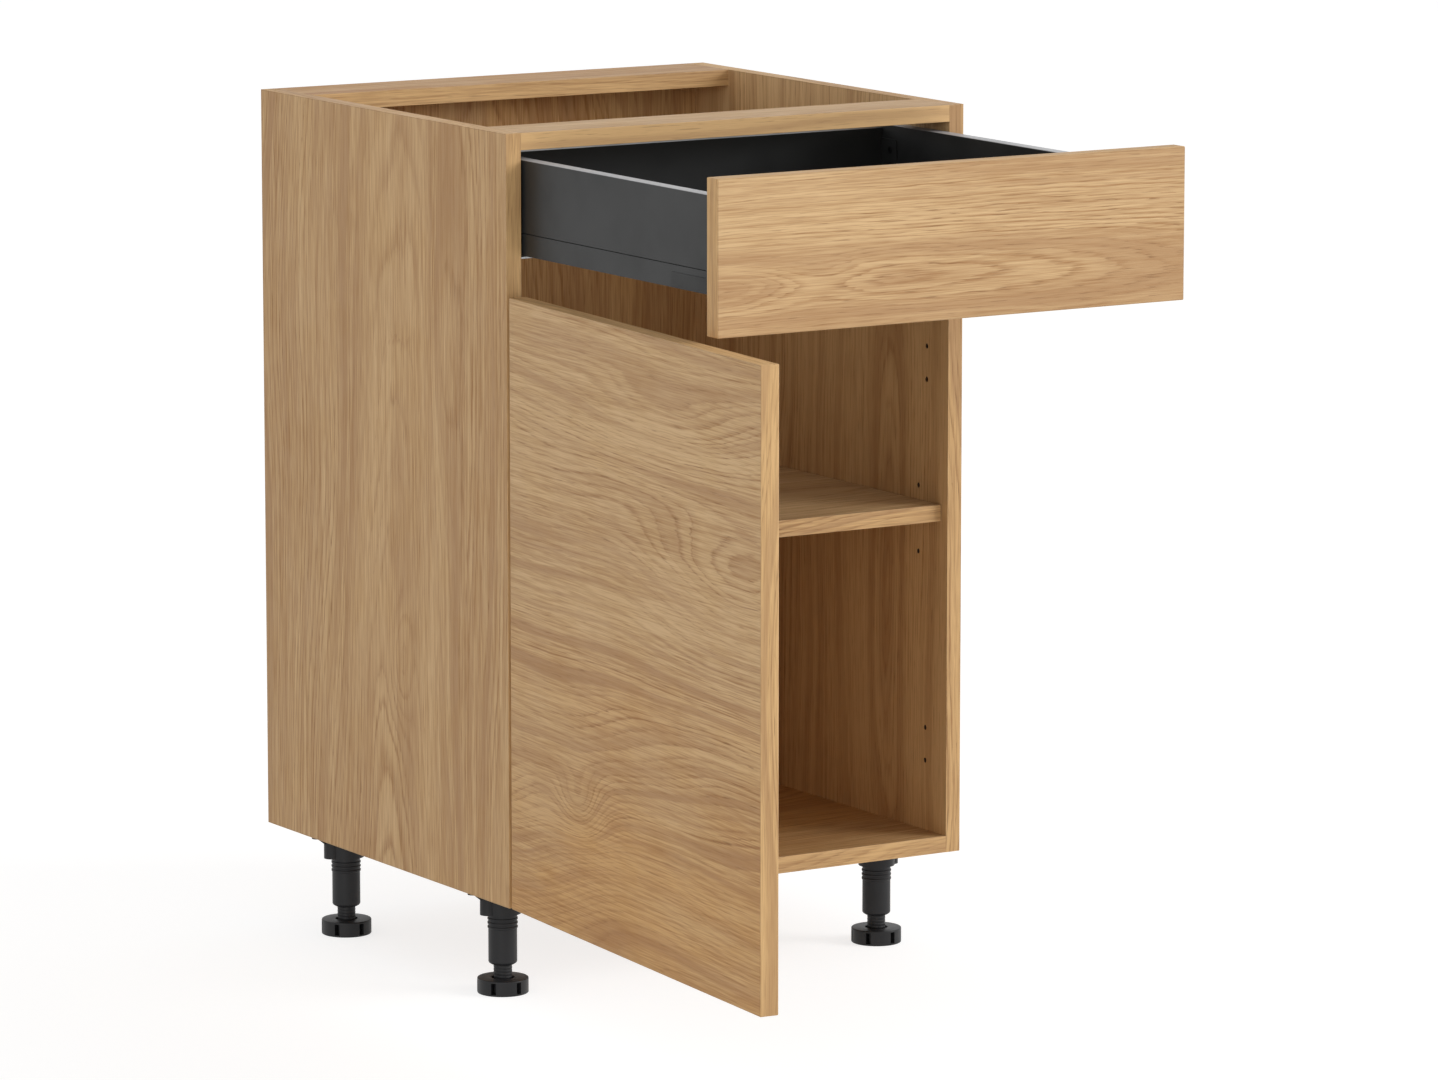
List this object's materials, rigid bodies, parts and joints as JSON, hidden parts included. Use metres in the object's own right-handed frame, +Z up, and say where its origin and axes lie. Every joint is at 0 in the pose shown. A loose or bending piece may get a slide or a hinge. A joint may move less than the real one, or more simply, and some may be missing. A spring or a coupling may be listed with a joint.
{
  "type": "modular kitchen base cabinet",
  "caption": "Freestanding kitchen base cabinet with a drawer over a left-hung door, a shelf inside and levelling legs, in oak-look board.",
  "frame": {"origin": "on the plane of the back edges, which stands against the wall, in the middle of the width and level with the underside of the bottom panel, 100 mm above the floor that the feet stand on", "axes": "+X to the right seen from the front, +Y to the back wall, +Z up"},
  "size_m": [0.5389, 0.9712, 0.82],
  "materials": {
    "carcass_board": "oak-look laminate, satin",
    "front_board": "oak-look laminate with horizontal grain, satin",
    "drawer_board": "dark grey laminate, matt",
    "beech": "plain turned beech",
    "anthracite_steel": "anthracite powder coat, satin",
    "cap_plastic": "anthracite moulded plastic",
    "leg_plastic": "black moulded plastic",
    "cam_metal": "die-cast zinc, dull",
    "hinge_steel": "nickel-plated pressed steel",
    "zinc_steel": "zinc-plated steel"
  },
  "bodies": {
    "carcass": {"back_left_leg_column": "leg_plastic", "back_left_leg_socket": "leg_plastic", "back_panel": "carcass_board", "back_right_leg_column": "leg_plastic", "back_right_leg_socket": "leg_plastic", "bottom_panel": "carcass_board", "cam_bolts": "zinc_steel", "cam_locks": "cam_metal", "front_left_leg_column": "leg_plastic", "front_left_leg_socket": "leg_plastic", "front_right_leg_column": "leg_plastic", "front_right_leg_socket": "leg_plastic", "front_top_rail": "carcass_board", "hinge_adjusting_screws": "zinc_steel", "hinge_plate_screws": "zinc_steel", "left_cabinet_runner": "zinc_steel", "left_side_panel": "carcass_board", "leg_screws": "zinc_steel", "lower_hinge_arm": "hinge_steel", "lower_hinge_plate": "hinge_steel", "rear_top_rail": "carcass_board", "right_cabinet_runner": "zinc_steel", "right_side_panel": "carcass_board", "runner_screws": "zinc_steel", "shelf_pins": "zinc_steel", "upper_hinge_arm": "hinge_steel", "upper_hinge_plate": "hinge_steel", "wood_dowels": "beech"},
    "door": {"door_panel": "front_board", "lower_hinge_cup": "hinge_steel", "upper_hinge_cup": "hinge_steel", "hinge_pins": "zinc_steel", "hinge_cup_screws": "zinc_steel"},
    "drawer": {"drawer_back": "anthracite_steel", "drawer_back_screws": "zinc_steel", "drawer_bottom": "drawer_board", "drawer_bottom_screws": "zinc_steel", "drawer_front": "front_board", "drawer_front_screws": "zinc_steel", "left_drawer_cover_band": "anthracite_steel", "left_drawer_cover_cap": "cap_plastic", "left_drawer_front_bracket": "zinc_steel", "left_drawer_runner": "zinc_steel", "left_drawer_side": "anthracite_steel", "right_drawer_cover_band": "anthracite_steel", "right_drawer_cover_cap": "cap_plastic", "right_drawer_front_bracket": "zinc_steel", "right_drawer_runner": "zinc_steel", "right_drawer_side": "anthracite_steel"},
    "middle_runners": {"left_middle_runner": "zinc_steel", "right_middle_runner": "zinc_steel"},
    "shelf": {"shelf": "carcass_board"},
    "front_left_foot": {"front_left_levelling_foot": "leg_plastic"},
    "front_right_foot": {"front_right_levelling_foot": "leg_plastic"},
    "back_left_foot": {"back_left_levelling_foot": "leg_plastic"},
    "back_right_foot": {"back_right_levelling_foot": "leg_plastic"}
  },
  "joints": [
    {"name": "door_hinge", "type": "hinge", "parent": "carcass", "child": "door", "pos_m": [-0.24205, -0.4815, 0.285], "axis": [0, 0, 1], "range_deg": [0, 94.5]},
    {"name": "drawer_slide", "type": "slide", "parent": "carcass", "child": "drawer", "axis": [0, -1, 0], "range_m": [-0.344, 0.094]},
    {"name": "middle_runner_slide", "type": "slide", "parent": "carcass", "child": "middle_runners", "axis": [0, -1, 0], "range_m": [-0.172, 0.047]},
    {"name": "shelf_lift", "type": "slide", "parent": "carcass", "child": "shelf", "axis": [0, 0, 1], "range_m": [0, 0.032]},
    {"name": "front_left_foot_thread", "type": "slide", "parent": "carcass", "child": "front_left_foot", "axis": [0, 0, -1], "range_m": [-0.012, 0.02]},
    {"name": "front_right_foot_thread", "type": "slide", "parent": "carcass", "child": "front_right_foot", "axis": [0, 0, -1], "range_m": [-0.012, 0.02]},
    {"name": "back_left_foot_thread", "type": "slide", "parent": "carcass", "child": "back_left_foot", "axis": [0, 0, -1], "range_m": [-0.012, 0.02]},
    {"name": "back_right_foot_thread", "type": "slide", "parent": "carcass", "child": "back_right_foot", "axis": [0, 0, -1], "range_m": [-0.012, 0.02]}
  ],
  "couplings": [
    {"joint": "middle_runner_slide", "follows": "drawer_slide", "ratio": 0.5}
  ]
}
